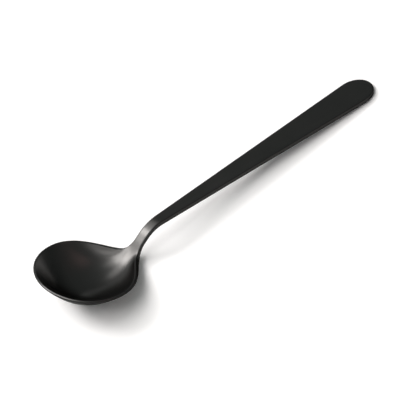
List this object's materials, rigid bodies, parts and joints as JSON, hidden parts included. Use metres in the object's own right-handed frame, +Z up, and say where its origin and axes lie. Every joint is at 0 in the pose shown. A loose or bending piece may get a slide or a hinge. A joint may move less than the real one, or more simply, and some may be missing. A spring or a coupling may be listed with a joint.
{
  "type": "cupping spoon",
  "caption": "Deep round-bowled spoon in satin black steel, with a slender bent neck and a flat tapered handle, for tasting coffee.",
  "frame": {"origin": "on the table, at the middle of the small resting flat under the bowl, in the spoon's plane of symmetry", "axes": "+X from the bowl to the handle's end, +Y across the spoon, +Z up from the table that the spoon lies on"},
  "size_m": [0.1744, 0.0402, 0.0195],
  "materials": {
    "black_steel": "satin black coating on stainless steel"
  },
  "bodies": {
    "root": {"bowl": "black_steel", "neck": "black_steel", "handle": "black_steel"}
  },
  "joints": []
}
